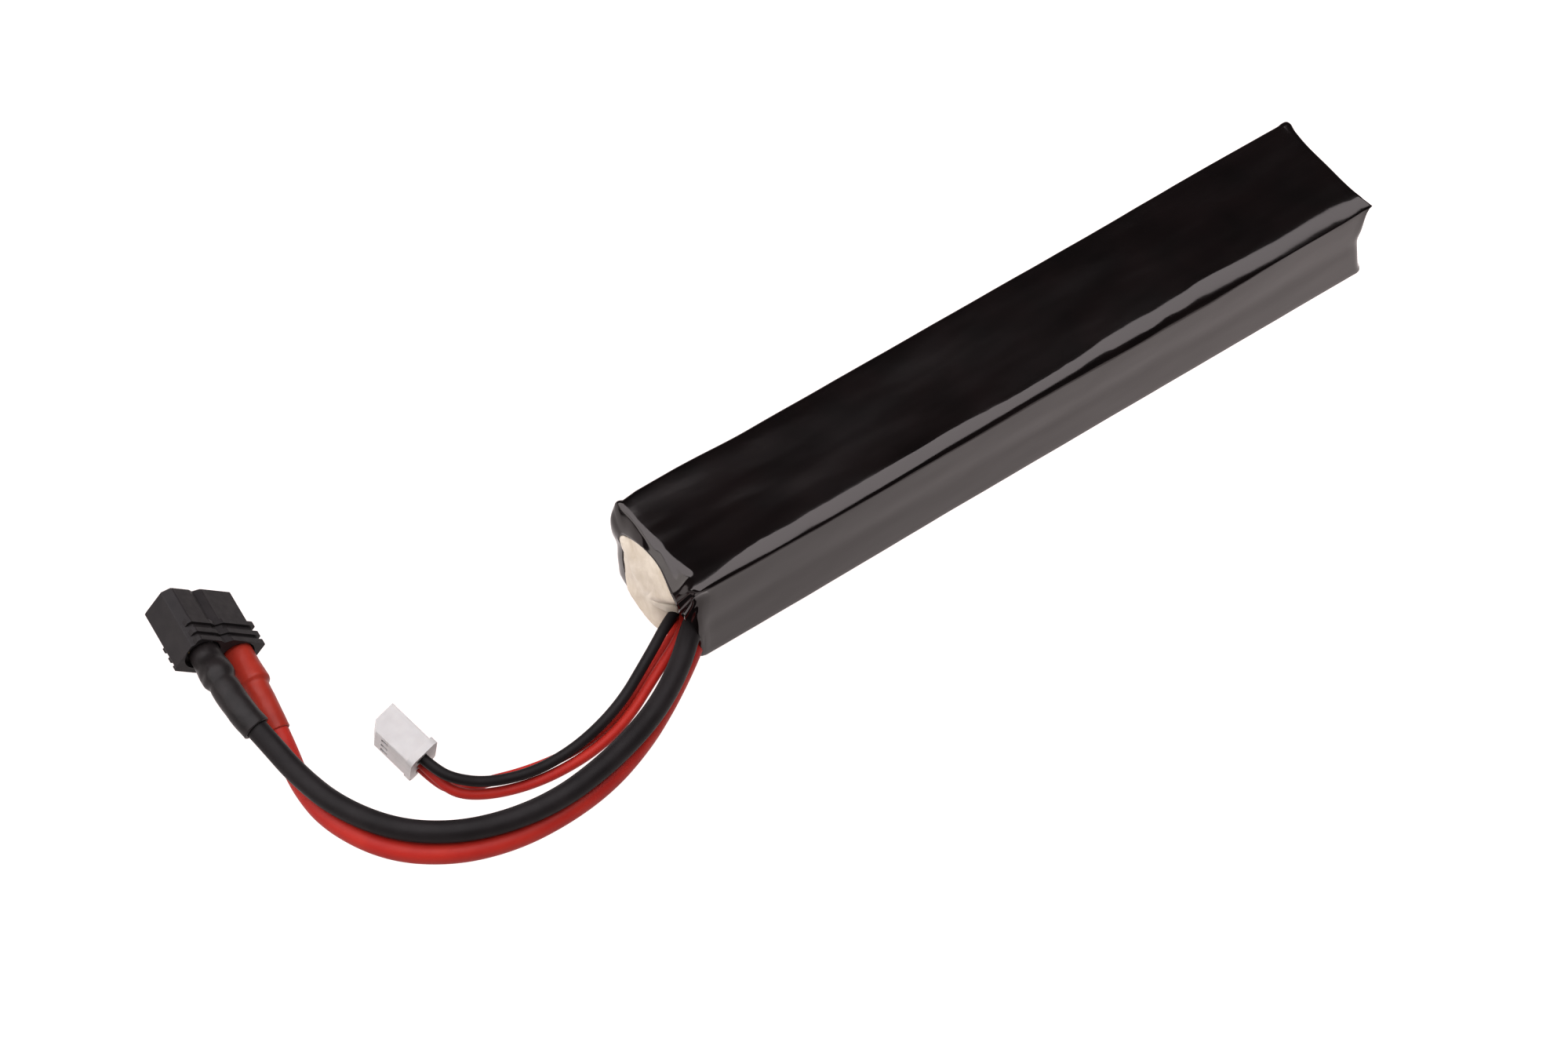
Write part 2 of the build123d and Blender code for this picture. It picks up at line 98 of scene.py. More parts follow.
BALANCE_MIDDLE_ROUTE = [
    (-60.5, 3.6, 4.1), (-60.5, -1.2, 3.5), (-62.0, -4.7, 3.0), (-65.2, -7.2, 2.6),
    (-68.6, -8.8, 2.2), (-72.8, -10.7, 1.6), (-78.4, -13.5, 1.1), (-84.0, -15.3, 0.9),
    (-90.4, -16.0, 0.9), (-97.6, -15.4, 0.9), (-104.2, -13.4, 1.3), (-108.8, -11.0, 2.7),
    (-110.0, -7.3, 4.1), (-111.1, -2.8, 5.5),
]
BALANCE_POSITIVE_ROUTE = [
    (-60.0, -2.9, 1.2), (-64.4, -5.1, 1.2), (-70.2, -7.8, 0.9), (-77.2, -11.1, 0.9),
    (-84.0, -13.5, 0.9), (-90.6, -14.0, 0.9), (-97.4, -12.9, 0.9), (-103.4, -10.9, 0.9),
    (-108.2, -9.5, 1.1), (-109.9, -6.3, 1.9), (-110.8, -2.0, 3.1),
]


# ------------------------------------------------------------------ materials
class Surface:
    """A material whose textures are laid out in millimetres of the object's own space."""

    def __init__(self, name, base, roughness, metallic=0.0, specular=0.5, subsurface=0.0):
        self.material = bpy.data.materials.new(name)
        self.material.use_nodes = True
        self.nodes = self.material.node_tree.nodes
        self.links = self.material.node_tree.links
        self.shader = self.nodes["Principled BSDF"]
        self.shader.inputs["Base Color"].default_value = (*base, 1)
        self.shader.inputs["Roughness"].default_value = roughness
        self.shader.inputs["Metallic"].default_value = metallic
        self.shader.inputs["Specular IOR Level"].default_value = specular
        if subsurface:
            self.shader.inputs["Subsurface Weight"].default_value = subsurface
            self.shader.inputs["Subsurface Radius"].default_value = (0.004, 0.0037, 0.0034)
        self.space = self.nodes.new("ShaderNodeTexCoord").outputs["Object"]

    def noise(self, size, detail=3.0, stretch=(1, 1, 1), distortion=0.0):
        """Noise whose blobs are about `size` millimetres, drawn out along the axes by `stretch`."""
        mapping = self.nodes.new("ShaderNodeMapping")
        self.links.new(self.space, mapping.inputs["Vector"])
        mapping.inputs["Scale"].default_value = [1 / (MM * size * s) for s in stretch]
        texture = self.nodes.new("ShaderNodeTexNoise")
        self.links.new(mapping.outputs["Vector"], texture.inputs["Vector"])
        texture.inputs["Scale"].default_value = 1.0
        texture.inputs["Detail"].default_value = detail
        texture.inputs["Distortion"].default_value = distortion
        return texture.outputs["Fac"]

    def ramp(self, factor, low, high, start=0.35, stop=0.65):
        """Colour that goes from low to high while the factor goes from start to stop."""
        ramp = self.nodes.new("ShaderNodeValToRGB")
        self.links.new(factor, ramp.inputs["Fac"])
        ends = ramp.color_ramp.elements
        ends[0].position = start
        ends[1].position = stop
        ends[0].color = (*low, 1)
        ends[1].color = (*high, 1)
        return ramp.outputs["Color"]

    def spread(self, factor, low, high, start=0.3, stop=0.7):
        """Number that goes from low to high while the factor goes from start to stop."""
        span = self.nodes.new("ShaderNodeMapRange")
        self.links.new(factor, span.inputs["Value"])
        span.inputs["From Min"].default_value = start
        span.inputs["From Max"].default_value = stop
        span.inputs["To Min"].default_value = low
        span.inputs["To Max"].default_value = high
        return span.outputs["Result"]

    def tint(self, factor, low, high, start=0.35, stop=0.65):
        colour = self.ramp(factor, low, high, start, stop)
        self.links.new(colour, self.shader.inputs["Base Color"])
        return self

    def gloss(self, factor, low, high, start=0.3, stop=0.7):
        self.links.new(self.spread(factor, low, high, start, stop), self.shader.inputs["Roughness"])
        return self

    def bump(self, factor, height, strength=1.0):
        """Relief of that height in millimetres, on top of any relief given before."""
        relief = self.nodes.new("ShaderNodeBump")
        relief.inputs["Distance"].default_value = height * MM
        relief.inputs["Strength"].default_value = strength
        self.links.new(factor, relief.inputs["Height"])
        before = self.shader.inputs["Normal"].links
        if before:
            self.links.new(before[0].from_socket, relief.inputs["Normal"])
        self.links.new(relief.outputs["Normal"], self.shader.inputs["Normal"])
        return self


def film_surface():
    s = Surface("shrink_film", (0.002, 0.0013, 0.0013), 0.1)
    s.shader.inputs["IOR"].default_value = 1.4
    s.shader.inputs["Specular Tint"].default_value = (1.0, 0.925, 0.905, 1)
    s.tint(s.noise(9, 4), (0.0014, 0.001, 0.001), (0.0026, 0.0016, 0.0016))
    s.gloss(s.noise(5, 5, (5, 1, 1)), 0.07, 0.17)
    s.bump(s.noise(3.5, 2, (2.5, 1, 1)), 0.02)
    return s.bump(s.noise(0.25, 2, (40, 1, 1)), 0.0016, 0.6)


def silicone_surface(name, dark, light, specular):
    s = Surface(name, light, 0.5, specular=specular)
    s.tint(s.noise(6, 3), dark, light)
    s.gloss(s.noise(2.5, 4), 0.42, 0.55)
    return s.bump(s.noise(0.3, 3), 0.004, 0.7)


def heat_shrink_surface(name, dark, light):
    s = Surface(name, light, 0.38, specular=0.11)
    s.tint(s.noise(3.0, 3), dark, light)
    s.gloss(s.noise(1.6, 4), 0.32, 0.46)
    s.bump(s.noise(1.3, 2), 0.03)
    return s.bump(s.noise(0.12, 2), 0.003, 0.6)


def nylon_surface(name, dark, light, roughness, subsurface=0.0):
    s = Surface(name, light, roughness, specular=0.13, subsurface=subsurface)
    s.tint(s.noise(2.5, 4), dark, light)
    s.gloss(s.noise(1.2, 5), roughness - 0.06, roughness + 0.08)
    return s.bump(s.noise(0.09, 3), 0.004, 0.8)


def pad_surface():
    s = Surface("crinkled_pad", (0.40, 0.35, 0.28), 0.5, specular=0.3, subsurface=0.15)
    s.tint(s.noise(4.0, 4, distortion=0.6), (0.38, 0.325, 0.25), (0.48, 0.43, 0.355), 0.3, 0.6)
    s.gloss(s.noise(1.5, 4), 0.4, 0.6)
    s.bump(s.noise(1.6, 3, distortion=0.8), 0.12)
    return s.bump(s.noise(0.2, 3), 0.01, 0.7)


def foil_surface():
    s = Surface("pouch_foil", (0.62, 0.63, 0.65), 0.3, metallic=0.9)
    s.tint(s.noise(5, 3), (0.52, 0.53, 0.55), (0.66, 0.67, 0.69))
    s.gloss(s.noise(2, 4), 0.24, 0.4)
    return s.bump(s.noise(1.4, 3), 0.03)


def metal_surface(name, dark, light, roughness):
    s = Surface(name, light, roughness, metallic=1.0)
    s.tint(s.noise(1.5, 3), dark, light)
    s.gloss(s.noise(0.8, 4), roughness - 0.06, roughness + 0.1)
    return s.bump(s.noise(0.1, 2, (6, 1, 1)), 0.002, 0.7)


def tape_surface(name, dark, light, roughness):
    s = Surface(name, light, roughness)
    s.tint(s.noise(3, 4), dark, light)
    s.gloss(s.noise(1.5, 3), roughness - 0.05, roughness + 0.08)
    return s.bump(s.noise(0.3, 3), 0.01, 0.6)


SURFACES = {
    "film": film_surface(),
    "pouch_foil": foil_surface(),
    "tab_nickel": metal_surface("tab_nickel", (0.58, 0.57, 0.54), (0.70, 0.69, 0.66), 0.28),
    "solder": metal_surface("solder", (0.50, 0.50, 0.52), (0.64, 0.64, 0.66), 0.3),
    "bond_tape": tape_surface("bond_tape", (0.66, 0.65, 0.61), (0.78, 0.77, 0.73), 0.7),
    "band_tape": tape_surface("band_tape", (0.48, 0.28, 0.05), (0.62, 0.40, 0.10), 0.25),
    "fibre_sheet": tape_surface("fibre_sheet", (0.38, 0.43, 0.35), (0.50, 0.54, 0.46), 0.75),
    "insulating_pad": pad_surface(),
    "silicone_black": silicone_surface("silicone_black", (0.006, 0.005, 0.0052),
                                       (0.009, 0.0075, 0.0078), 0.07),
    "silicone_red": silicone_surface("silicone_red", (0.24, 0.011, 0.008), (0.28, 0.016, 0.01), 0.11),
    "shrink_black": heat_shrink_surface("shrink_black", (0.006, 0.005, 0.005), (0.01, 0.008, 0.008)),
    "shrink_red": heat_shrink_surface("shrink_red", (0.185, 0.014, 0.008), (0.215, 0.019, 0.011)),
    "nylon_black": nylon_surface("nylon_black", (0.0085, 0.0072, 0.0075), (0.0115, 0.0098, 0.01), 0.46),
    "nylon_white": nylon_surface("nylon_white", (0.34, 0.33, 0.325), (0.37, 0.36, 0.355), 0.42, 0.85),
    "contact_brass": metal_surface("contact_brass", (0.72, 0.52, 0.22), (0.84, 0.66, 0.32), 0.25),
    "terminal_tin": metal_surface("terminal_tin", (0.62, 0.62, 0.62), (0.74, 0.74, 0.74), 0.28),
}


def paint(piece, slot):
    """Gives a piece the material of its slot."""
    piece.data.materials.clear()
    piece.data.materials.append(SURFACES[slot].material)
    return piece


# ------------------------------------------------------------------ mesh helpers
def mesh_piece(name, points, faces, slot):
    """A smooth mesh from points in millimetres."""
    mesh = bpy.data.meshes.new(name)
    mesh.from_pydata([p * MM for p in points], [], faces)
    mesh.validate()
    mesh.shade_smooth()
    piece = bpy.data.objects.new(name, mesh)
    bpy.context.scene.collection.objects.link(piece)
    paint(piece, slot)
    return piece


def ring_faces(count, per_ring, closed=False):
    """Quads between rings of points that follow each other."""
    faces = []
    for i in range(count if closed else count - 1):
        this, after = i * per_ring, (i + 1) % count * per_ring
        for j in range(per_ring):
            k = (j + 1) % per_ring
            faces.append((this + j, this + k, after + k, after + j))
    return faces


def smooth(x, low, high):
    """0 below low, 1 above high, with an even start and stop."""
    t = min(1.0, max(0.0, (x - low) / (high - low)))
    return t * t * (3 - 2 * t)


def wave(x, y, z=0.0):
    """Steady noise between about -1 and 1."""
    return noise.noise(Vector((x, y, z)))


def turned(rear, turn):
    """Frame of a plug: its X points out of the mating face."""
    heading, pitch, roll = (radians(a) for a in turn)
    return (Matrix.Translation(rear) @ Matrix.Rotation(heading, 4, "Z")
            @ Matrix.Rotation(-pitch, 4, "Y") @ Matrix.Rotation(roll, 4, "X"))


# ------------------------------------------------------------------ shrink film
# The film is a grid: columns run along the pack and rings run round it. A column's place
# round the film is its distance along the sharp box, from the middle of the top, over the
# long edge on the wires' side, round the bottom and up the far side.
SIDE_START = HALF_WIDTH
SIDE_STOP = HALF_WIDTH + HEIGHT
BOTTOM_STOP = SIDE_STOP + 2 * HALF_WIDTH
FAR_SIDE_STOP = BOTTOM_STOP + HEIGHT
ROUND = FAR_SIDE_STOP + HALF_WIDTH

# Each end's lip, by place round the film: where the lip's bend starts, where the film's rim
# would be if it were sharp, how far that rim stands out of the section, and the cut edge.
# (place, start x, rim x, rim out, edge x, edge y, edge z)
NEAR_LIP = [
    (0.0, -62.4, -63.4, 0.0, -64.9, -0.4, 15.45),
    (2.4, -62.4, -63.45, 0.0, -65.1, -2.6, 15.25),
    (4.4, -62.0, -63.2, 0.0, -65.5, -4.7, 14.6),
    (6.2, -61.8, -62.9, 0.0, -65.8, -6.3, 13.8),
    (7.8, -63.0, -64.1, 0.0, -65.9, -7.5, 13.1),
    (9.2, -63.0, -64.1, 0.0, -65.5, -7.7, 11.3),
    (10.5, -62.8, -63.9, -0.3, -65.1, -7.4, 9.4),
    (12.5, -61.5, -63.7, -0.5, -64.8, -8.6, 8.9),
    (15.0, -61.6, -63.7, -0.2, -64.3, -9.9, 8.3),
    (19.0, -61.8, -63.4, 0.1, -63.9, -10.6, 6.5),
    (24.0, -61.8, -63.3, 0.1, -63.7, -10.6, 3.2),
    (27.3, -61.8, -63.3, 0.0, -63.7, -10.3, 0.4),
    (30.0, -61.8, -63.5, 0.0, -64.2, -7.8, 0.15),
    (33.0, -61.8, -64.5, 0.0, -65.2, -4.7, 0.15),
    (36.0, -61.6, -65.6, 0.0, -66.0, -1.6, 0.9),
    (39.0, -61.6, -65.9, 0.0, -66.0, 1.5, 1.6),
    (42.5, -61.6, -65.9, 0.0, -65.9, 4.0, 2.2),
    (46.0, -61.6, -65.7, 0.0, -65.6, 6.0, 3.2),
    (48.5, -61.6, -65.4, -0.2, -65.4, 7.1, 4.6),
    (52.0, -61.6, -65.2, 0.0, -65.2, 7.8, 6.6),
    (55.5, -61.6, -65.0, 0.2, -65.0, 8.1, 8.8),
    (59.0, -61.6, -65.6, 0.9, -65.3, 8.5, 10.6),
    (62.3, -61.6, -65.4, 1.2, -65.3, 8.3, 11.9),
    (65.1, -62.8, -64.3, 0.8, -65.1, 7.7, 12.7),
    (67.2, -63.0, -64.0, 0.0, -65.0, 6.4, 13.5),
    (70.0, -63.0, -63.9, 0.0, -65.0, 4.7, 14.5),
    (73.0, -62.7, -63.7, 0.0, -64.9, 2.3, 15.2),
]
FAR_LIP = [
    (0.0, 65.6, 67.0, 0.0, 66.1, 0.0, 13.6),
    (5.0, 65.7, 67.0, 0.0, 66.1, -4.6, 13.5),
    (8.5, 66.3, 67.2, 0.1, 66.1, -6.6, 13.2),
    (10.5, 67.0, 67.9, 0.35, 66.1, -7.2, 12.6),
    (12.5, 66.0, 66.9, 0.2, 66.1, -7.3, 11.8),
    (16.5, 64.4, 66.4, 0.1, 66.0, -7.3, 10.0),
    (18.5, 64.2, 65.9, -0.3, 65.9, -7.2, 8.6),
    (22.0, 64.3, 66.0, 0.0, 66.0, -7.2, 6.2),
    (25.5, 64.6, 66.5, 0.1, 66.1, -7.1, 4.2),
    (27.3, 64.8, 67.2, 0.2, 66.1, -6.9, 3.6),
    (29.5, 64.6, 66.6, 0.0, 66.1, -6.2, 3.1),
    (37.8, 64.6, 66.3, 0.0, 66.1, 0.0, 2.8),
    (46.0, 64.6, 66.6, 0.0, 66.1, 6.2, 3.1),
    (48.3, 64.8, 67.2, 0.2, 66.1, 6.9, 3.6),
    (50.5, 64.6, 66.5, 0.0, 66.1, 7.1, 4.3),
    (56.7, 64.2, 65.9, -0.3, 65.9, 7.2, 8.4),
    (62.0, 64.6, 66.5, 0.1, 66.1, 7.2, 12.0),
    (65.1, 65.2, 68.0, 0.55, 66.1, 7.0, 12.8),
    (67.5, 65.4, 67.4, 0.2, 66.1, 6.2, 13.3),
    (71.0, 65.5, 67.0, 0.0, 66.1, 4.0, 13.5),
]
LIP_SHARPNESS = 0.88
NEAR_LIP_RINGS = 26
FAR_LIP_RINGS = 16
BODY_STEP = 1.3


def around(table, place):
    """Row of a table that runs once round the film, read smoothly between its places."""
    places = [row[0] for row in table]
    count = len(table)
    i = bisect_right(places, place) - 1
    rows = [table[(i + k) % count][1:] for k in (-1, 0, 1, 2)]
    at = [places[(i + k) % count] + ROUND * ((i + k) // count) for k in (-1, 0, 1, 2)]
    if place < at[1]:
        place += ROUND
    span = at[2] - at[1]
    t = (place - at[1]) / span
    value = []
    for before, a, b, after in zip(*rows):
        start = (b - before) / (at[2] - at[0]) * span
        stop = (after - a) / (at[3] - at[1]) * span
        value.append((2 * t ** 3 - 3 * t ** 2 + 1) * a + (t ** 3 - 2 * t ** 2 + t) * start
                     + (3 * t ** 2 - 2 * t ** 3) * b + (t ** 3 - t ** 2) * stop)
    return value


def corner_arc(centre, reach, start, stop, steps):
    """Points on a quarter ellipse, without its last point."""
    turns = [radians(start + (stop - start) * i / steps) for i in range(steps)]
    return [(centre[0] + reach[0] * cos(t), centre[1] + reach[1] * sin(t)) for t in turns]


def run(a, b, steps):
    """Points on a straight run, without its last point."""
    return [(a[0] + (b[0] - a[0]) * i / steps, a[1] + (b[1] - a[1]) * i / steps)
            for i in range(steps)]


# Steps in each stretch of the section, the same at every ring
TOP_STEPS, CORNER_STEPS, SIDE_STEPS, FOOT_STEPS, BOTTOM_STEPS = 14, 24, 18, 8, 16

# The shoulder over the wires' side, as (tilt at its start, tilt at its end, steps)
SHOULDER = ((3, 30, 12), (30, 54, 3), (54, 60, 4), (60, 90, 5))


def shoulder(band, crease):
    """Corner of the section, from its ridge down to the side, as (y, z) from the side's line.

    The gentle slope is `band` long, the steep facet under it `crease`.
    """
    runs = (band, 0.1 + 0.3 * crease, crease, 0.12 + 0.35 * crease)
    y, z = 0.0, 0.0
    points = []
    for (start, stop, steps), length in zip(SHOULDER, runs):
        for i in range(steps):
            points.append((y, z))
            tilt = radians(start + (stop - start) * (i + 0.5) / steps)
            y -= cos(tilt) * length / steps
            z -= sin(tilt) * length / steps
    return [(py - y, pz) for py, pz in points], z


def section(x):
    """Outline of the film at x, as (y, z): a sloped shoulder over the wires' side."""
    ridge = HEIGHT + 0.1 * smooth(-x, -30, 0) + 0.25 * smooth(-x, 38, 54) + 0.04 * wave(x / 11, 3.3)
    band = 2.4 - 0.6 * smooth(x, -12, -4) + 0.3 * smooth(x, 4, 9) + 0.7 * smooth(x, 10, 17)
    band += 0.3 * smooth(x, 30, 37) + 0.3 * smooth(x, 50, 58) - 1.0 * smooth(x, 61, 66)
    band -= 1.4 * smooth(-x, 52, 62)
    band += 0.14 * wave(x / 6, 0.7) + 0.16 * wave(x / 1.7, 2.7)
    crease = (0.3 + 0.3 * smooth(x, -35, 5) + 0.1 * smooth(x, 5, 30) - 0.7 * smooth(x, 32, 54)
              + 0.08 * wave(x / 5, 8.4))
    corner, drop = shoulder(band, max(crease, 0.05))
    left = 0.9 + 0.15 * wave(x / 12, 9.2)
    left_drop = 0.6 * left
    side = HALF_WIDTH
    foot = 0.8
    low_side = side + 0.35 + 0.2 * smooth(-x, 10, 45)
    points = run((0, HEIGHT), (corner[0][0] - side, ridge), TOP_STEPS)
    points += [(y - side, ridge + z) for y, z in corner]
    points += run((-side, ridge + drop), (-low_side, foot), SIDE_STEPS)
    points += corner_arc((foot - low_side, foot), (foot, foot), 180, 270, FOOT_STEPS)
    points += run((foot - low_side, 0), (side - foot, 0), BOTTOM_STEPS)
    points += corner_arc((side - foot, foot), (foot, foot), 270, 360, FOOT_STEPS)
    high_side = (side + 0.35 + 0.45 * smooth(-x, 40, 54) * (1 - 0.7 * smooth(-x, 60, 63))
                 + 0.2 * smooth(x, 20, 50))
    points += run((side, foot), (high_side, HEIGHT - left_drop), SIDE_STEPS)
    points += corner_arc((high_side - left, HEIGHT - left_drop), (left, left_drop), 0, 90,
                         CORNER_STEPS)
    points += run((high_side - left, HEIGHT), (0, HEIGHT), TOP_STEPS)
    return points


def column_places():
    """Place of each column round the film."""
    legs = [(0, SIDE_START - 2.6, TOP_STEPS), (SIDE_START - 2.6, SIDE_START + 1.2, CORNER_STEPS),
            (SIDE_START + 1.2, SIDE_STOP - 1.1, SIDE_STEPS),
            (SIDE_STOP - 1.1, SIDE_STOP + 1.1, FOOT_STEPS),
            (SIDE_STOP + 1.1, BOTTOM_STOP - 1.1, BOTTOM_STEPS),
            (BOTTOM_STOP - 1.1, BOTTOM_STOP + 1.1, FOOT_STEPS),
            (BOTTOM_STOP + 1.1, FAR_SIDE_STOP - 0.6, SIDE_STEPS),
            (FAR_SIDE_STOP - 0.6, FAR_SIDE_STOP + 1.2, CORNER_STEPS),
            (FAR_SIDE_STOP + 1.2, ROUND, TOP_STEPS)]
    return [a + (b - a) * i / steps for a, b, steps in legs for i in range(steps)]


PLACES = column_places()


def outward(outline):
    """Unit outward normal, as (y, z), at each point of an outline."""
    count = len(outline)
    normals = []
    for j in range(count):
        y0, z0 = outline[j - 1]
        y1, z1 = outline[(j + 1) % count]
        length = sqrt((y1 - y0) ** 2 + (z1 - z0) ** 2)
        normals.append(((z1 - z0) / length * -1, (y1 - y0) / length))
    return [(-ny, -nz) for ny, nz in normals]


def relief(x, place, z):
    """How far the film stands out of its section: ripples, a dip between the cells, streaks on the sides.
    """
    on_top = 1 - smooth(place, 6.0, 8.5) + smooth(place, FAR_SIDE_STOP + 1, FAR_SIDE_STOP + 4)
    ripple = 0.03 * wave(x / 9, place / 4, 1.5) + 0.014 * wave(x / 3.2, place / 1.6, 7.7)
    on_side = (smooth(place, SIDE_START + 1.5, SIDE_START + 4)
               * (1 - smooth(place, SIDE_STOP - 3, SIDE_STOP - 1))
               + smooth(place, BOTTOM_STOP + 1, BOTTOM_STOP + 3)
               * (1 - smooth(place, FAR_SIDE_STOP - 4, FAR_SIDE_STOP - 2)))
    dip = -0.08 * on_side * exp(-((z - CELL_SEAM_Z) / 2.0) ** 2)
    streaks = 0.012 * on_side * wave(x / 14, place / 0.8, 2.2)
    return ripple * (1 - 0.75 * on_top) + dip + streaks


def film_ring(x):
    """Ring of the film's body at x."""
    outline = section(x)
    ring = []
    for (y, z), (ny, nz), place in zip(outline, outward(outline), PLACES):
        out = relief(x, place, z)
        ring.append(Vector((x, y + ny * out, max(z + nz * out, 0.02))))
    return ring


def gather(place, t):
    """Folds that the film draws into over the wires, largest at its cut edge."""
    window = smooth(place, 7.0, 10.5) * (1 - smooth(place, 12.5, 15.0))
    return 0.34 * window * smooth(t, 0.3, 0.95) * sin(2 * pi * place / 2.1 + 2.2 * t)


def lip_rings(table, rings, folds):
    """Rings from the body's last section over the rim to the cut edge."""
    columns = []
    for j, place in enumerate(PLACES):
        start_x, rim_x, rim_out, edge_x, edge_y, edge_z = around(table, place)
        outline = section(start_x)
        y, z = outline[j]
        ny, nz = outward(outline)[j]
        start_out = relief(start_x, place, z)
        start = Vector((start_x, y + ny * start_out, max(z + nz * start_out, 0.02)))
        rim = Vector((rim_x, y + ny * rim_out, max(z + nz * rim_out, 0.05)))
        edge = Vector((edge_x, edge_y, edge_z))
        first = start.lerp(rim, LIP_SHARPNESS)
        second = edge.lerp(rim, LIP_SHARPNESS)
        column = []
        for i in range(1, rings + 1):
            t = i / rings
            point = (start * (1 - t) ** 3 + first * 3 * t * (1 - t) ** 2
                     + second * 3 * t * t * (1 - t) + edge * t ** 3)
            if folds:
                across = Vector((-0.5, ny, nz)).normalized()
                point += across * gather(place, t)
                point += across * 0.09 * smooth(t, 0.1, 0.6) * wave(place / 3.4, t * 3.0, 3.1)
            point.z = max(point.z, 0.05)
            column.append(point)
        columns.append((start_x, column))
    return columns


def film_piece():
    """Closed shell: the outer skin from the near cut edge to the far one, and the inner skin back."""
    near = lip_rings(NEAR_LIP, NEAR_LIP_RINGS, True)
    far = lip_rings(FAR_LIP, FAR_LIP_RINGS, False)
    per_ring = len(PLACES)
    steps = int((NEAR_X * -1 + FAR_X) / BODY_STEP)
    rings = [[near[j][1][i] for j in range(per_ring)] for i in reversed(range(NEAR_LIP_RINGS))]
    body = []
    for i in range(steps + 1):
        share = i / steps
        ring = []
        for j in range(per_ring):
            x = near[j][0] + (far[j][0] - near[j][0]) * share
            ring.append(x)
        body.append(ring)
    for xs in body:
        rings.append(body_ring(xs))
    rings += [[far[j][1][i] for j in range(per_ring)] for i in range(FAR_LIP_RINGS)]
    skin = len(rings)
    normals = grid_normals(rings)
    keep = [i for i in range(skin) if i < NEAR_LIP_RINGS + 2 or i > skin - FAR_LIP_RINGS - 2
            or i % 8 == 0]
    inner = [[rings[i][j] - normals[i][j] * FILM_THICK for j in range(per_ring)]
             for i in reversed(keep)]
    every = rings + inner
    points = [p for ring in every for p in ring]
    faces = ring_faces(len(every), per_ring, closed=True)
    return mesh_piece("shrink_film", points, faces, "film")


def body_ring(xs):
    """Ring of the body whose columns may sit at slightly different x."""
    cache = {}
    ring = []
    for j, x in enumerate(xs):
        key = round(x, 2)
        if key not in cache:
            cache[key] = film_ring(key)
        point = cache[key][j].copy()
        point.x = x
        ring.append(point)
    return ring


def grid_normals(rings):
    """Outward unit normals of a grid of points."""
    count, per_ring = len(rings), len(rings[0])
    normals = []
    for i in range(count):
        before, after = rings[max(i - 1, 0)], rings[min(i + 1, count - 1)]
        row = []
        for j in range(per_ring):
            along = after[j] - before[j]
            round_it = rings[i][(j + 1) % per_ring] - rings[i][j - 1]
            row.append(round_it.cross(along).normalized())
        normals.append(row)
    return normals


film = film_piece()
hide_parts("shrink_sleeve")
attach(film, BODY)


def lead(node, route, diameter, slot):
    """A lead on one smooth curve through its control points, in place of its hidden CAD node."""
    data = bpy.data.curves.new(node + "_cord", "CURVE")
    data.dimensions = "3D"
    data.bevel_depth = diameter / 2 * MM
    data.bevel_resolution = 6
    data.resolution_u = 14
    data.use_fill_caps = True
    spline = data.splines.new("NURBS")
    spline.points.add(len(route) - 1)
    for point, place in zip(spline.points, route):
        point.co = (*(Vector(place) * MM), 1)
    spline.order_u = 3
    spline.use_endpoint_u = True
    piece = bpy.data.objects.new(node + "_cord", data)
    bpy.context.scene.collection.objects.link(piece)
    paint(piece, slot)
    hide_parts(node)
    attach(piece, BODY)
    return piece


def centreline(route):
    """Points along a lead's curve, in millimetres, from the curve itself."""
    data = bpy.data.curves.new("line", "CURVE")
    data.dimensions = "3D"
    data.resolution_u = 14
    spline = data.splines.new("NURBS")
    spline.points.add(len(route) - 1)
    for point, place in zip(spline.points, route):
        point.co = (*(Vector(place) * MM), 1)
    spline.order_u = 3
    spline.use_endpoint_u = True
    holder = bpy.data.objects.new("line", data)
    mesh = bpy.data.meshes.new_from_object(holder)
    points = [v.co / MM for v in mesh.vertices]
    bpy.data.objects.remove(holder)
    bpy.data.curves.remove(data)
    bpy.data.meshes.remove(mesh)
    return points


# ------------------------------------------------------------------ heat-shrink on the T-plug
t_frame = turned(T_PLUG_REAR, T_PLUG_TURN)
NEGATIVE_SEAT = t_frame @ Matrix.Translation((0, 3.4, -0.5))
POSITIVE_SEAT = t_frame @ Matrix.Translation((0, -2.6, 0.6)) @ Matrix.Rotation(pi / 2, 4, "X")
SLEEVE_AXIS = 0.8
SLEEVE_INTO_PLUG = 0.8
SLEEVE_LEAN = 0.45
SLEEVE_WALL = 0.4
SLEEVE_SIDES = 40
SLEEVE_RINGS = 64


def sleeve_line(seat, route, length):
    """Smooth centreline from inside the plug's pocket along the lead."""
    lead_points = list(reversed(centreline(route)))
    shift = t_frame.to_3x3() @ Vector((0, -SLEEVE_LEAN, 0))
    mouth = seat @ Vector((SLEEVE_INTO_PLUG, 0, SLEEVE_AXIS)) + shift
    behind = seat @ Vector((-3.0, 0, SLEEVE_AXIS)) + shift
    start = lead_points[0]
    line = [mouth, mouth.lerp(behind, 0.5), behind.lerp(start, 0.35)]
    line += [p for p in lead_points if (p - mouth).length > (start - mouth).length + 0.6]
    walked = [0.0]
    for a, b in zip(line, line[1:]):
        walked.append(walked[-1] + (b - a).length)
    points = []
    for i in range(SLEEVE_RINGS + 1):
        goal = length * i / SLEEVE_RINGS
        k = min(bisect_right(walked, goal) - 1, len(line) - 2)
        points.append(line[k].lerp(line[k + 1], (goal - walked[k]) / (walked[k + 1] - walked[k])))
    for _ in range(24):
        inner = [(a + b * 2 + c) / 4 for a, b, c in zip(points, points[1:], points[2:])]
        points = [points[0], *inner, points[-1]]
    return points


